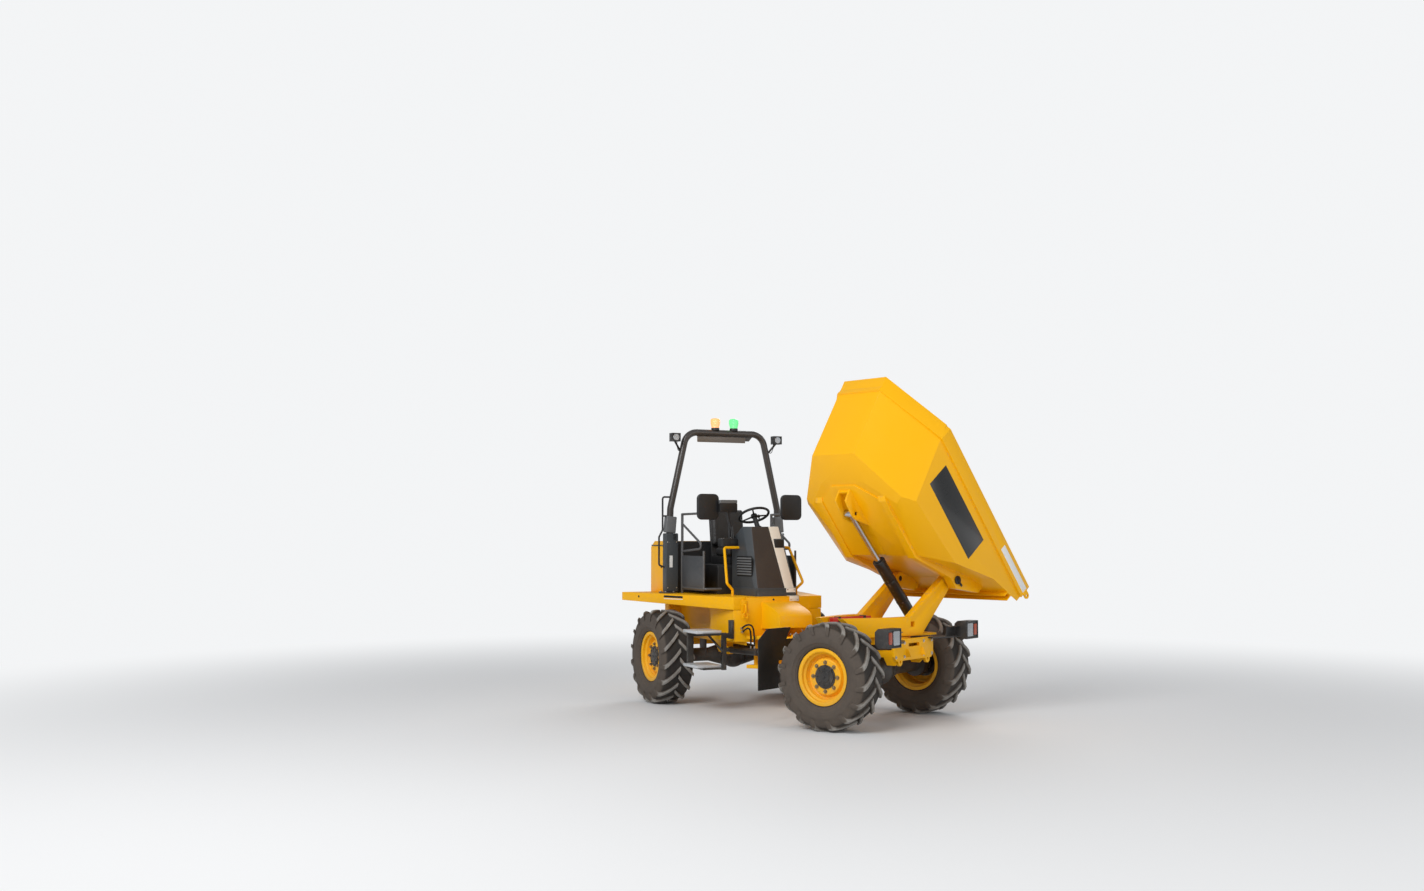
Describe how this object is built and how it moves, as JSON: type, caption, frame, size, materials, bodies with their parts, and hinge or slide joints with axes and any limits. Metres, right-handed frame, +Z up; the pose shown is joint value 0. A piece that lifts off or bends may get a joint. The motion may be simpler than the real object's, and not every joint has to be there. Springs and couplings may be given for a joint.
{
  "type": "site dumper",
  "caption": "Articulated site dumper with a swivel skip tipped to its side, a roll-over hoop, an open operator station and chevron-lug tyres.",
  "frame": {"origin": "on the ground, in the middle of the machine's overall box", "axes": "+X forward along the rear module, +Y to its left, +Z up; the front module is turned 26.9 degrees to the left, the swivel frame 78.5 degrees further, and the skip is tipped 52 degrees"},
  "size_m": [4.3405, 3.3542, 3.5978],
  "materials": {
    "body_paint": "gloss orange-yellow machine paint, lightly dusty",
    "skip_paint": "gloss orange-yellow paint, worn and dusty inside",
    "rim_paint": "gloss orange-yellow wheel paint",
    "dark_paint": "satin charcoal-brown paint",
    "black_steel": "semi-gloss black paint",
    "red_paint": "satin red paint",
    "chrome": "hard chrome, polished",
    "galvanised": "galvanised grating",
    "tyre": "black rubber, dusty in the tread",
    "black_rubber": "matte black rubber",
    "black_plastic": "grained black plastic",
    "seat_vinyl": "black vinyl, soft grain",
    "cream_plastic": "cream moulded panel",
    "amber_lens": "clear amber lens",
    "green_lens": "clear green lens"
  },
  "bodies": {
    "rear_chassis": {"rear_axle": "dark_paint", "rear_frame": "body_paint", "bulkhead": "body_paint", "side_tanks": "body_paint", "articulation_yoke": "body_paint", "tow_jaw": "body_paint", "deck": "body_paint", "rops_hoop": "dark_paint", "post_covers": "dark_paint", "seat_plinth": "black_plastic", "bonnet": "body_paint", "engine_block": "black_steel", "work_lamps": "black_steel", "beacon_amber": "amber_lens", "beacon_green": "green_lens", "seat_base": "black_plastic", "seat_cushion": "seat_vinyl", "seat_backrest": "seat_vinyl", "console": "dark_paint", "console_front_panel": "cream_plastic", "steering_column": "black_plastic", "display_and_levers": "black_plastic", "mirrors": "black_plastic", "grab_rails": "body_paint", "side_guards": "dark_paint", "step_frames": "black_steel", "step_treads": "galvanised"},
    "front_chassis": {"front_axle": "dark_paint", "front_frame": "body_paint", "slew_ring": "black_steel", "mudguards": "black_rubber", "headlamps": "black_steel"},
    "swivel": {"swivel_frame": "body_paint", "safety_prop": "red_paint"},
    "skip": {"skip_tub": "skip_paint", "skip_subframe": "skip_paint", "hinge_pins": "black_steel"},
    "tip_barrel": {"tip_barrel": "black_steel"},
    "tip_rod": {"tip_rod": "chrome"},
    "steer_barrel": {"steer_barrel": "black_steel"},
    "steer_rod": {"steer_rod": "chrome"},
    "front_left_wheel": {"front_left_tyre": "tyre", "front_left_rim": "rim_paint", "front_left_hub": "black_steel"},
    "front_right_wheel": {"front_right_tyre": "tyre", "front_right_rim": "rim_paint", "front_right_hub": "black_steel"},
    "rear_left_wheel": {"rear_left_tyre": "tyre", "rear_left_rim": "rim_paint", "rear_left_hub": "black_steel"},
    "rear_right_wheel": {"rear_right_tyre": "tyre", "rear_right_rim": "rim_paint", "rear_right_hub": "black_steel"}
  },
  "joints": [
    {"name": "articulation", "type": "hinge", "parent": "rear_chassis", "child": "front_chassis", "pos_m": [0.1798, -0.556, 0.65], "axis": [0, 0, 1], "range_deg": [-59.9, 6.1]},
    {"name": "skip_slew", "type": "hinge", "parent": "front_chassis", "child": "swivel", "pos_m": [1.08943, -0.09452, 0.82], "axis": [0, 0, 1], "range_deg": [-168.5, 11.5]},
    {"name": "skip_tip", "type": "hinge", "parent": "swivel", "child": "skip", "pos_m": [0.88628, 0.64302, 1.465], "axis": [-0.9641, -0.2656, 0], "range_deg": [-52, 6]},
    {"name": "tip_barrel_pivot", "type": "hinge", "parent": "swivel", "child": "tip_barrel", "pos_m": [0.91948, 0.5225, 1.018], "axis": [-0.9641, -0.2656, 0], "range_deg": [-49.5, 5.98]},
    {"name": "tip_rod_slide", "type": "slide", "parent": "tip_barrel", "child": "tip_rod", "axis": [0.1731, -0.6286, 0.7582], "range_m": [-0.404, 0.0484]},
    {"name": "steer_barrel_pivot", "type": "hinge", "parent": "rear_chassis", "child": "steer_barrel", "pos_m": [-0.5102, -1.011, 0.655], "axis": [0, 0, 1], "range_deg": [-0.58, 3.06]},
    {"name": "steer_rod_slide", "type": "slide", "parent": "steer_barrel", "child": "steer_rod", "axis": [0.9689, 0.2476, 0], "range_m": [-0.2955, 0.0319]},
    {"name": "front_left_wheel_spin", "type": "hinge", "parent": "front_chassis", "child": "front_left_wheel", "pos_m": [0.71332, 0.7463, 0.5375], "axis": [-0.4524, 0.8918, 0], "continuous": true},
    {"name": "front_right_wheel_spin", "type": "hinge", "parent": "front_chassis", "child": "front_right_wheel", "pos_m": [1.5458, -0.89461, 0.5375], "axis": [-0.4524, 0.8918, 0], "continuous": true},
    {"name": "rear_left_wheel_spin", "type": "hinge", "parent": "rear_chassis", "child": "rear_left_wheel", "pos_m": [-1.3352, 0.364, 0.5375], "axis": [0, 1, 0], "continuous": true},
    {"name": "rear_right_wheel_spin", "type": "hinge", "parent": "rear_chassis", "child": "rear_right_wheel", "pos_m": [-1.3352, -1.476, 0.5375], "axis": [0, 1, 0], "continuous": true}
  ],
  "couplings": [
    {"joint": "tip_barrel_pivot", "follows": "skip_tip", "ratio": 0.94622},
    {"joint": "tip_rod_slide", "follows": "skip_tip", "m_per_rad": 0.44289},
    {"joint": "steer_barrel_pivot", "follows": "articulation", "ratio": -0.04608},
    {"joint": "steer_rod_slide", "follows": "articulation", "m_per_rad": 0.28077}
  ]
}
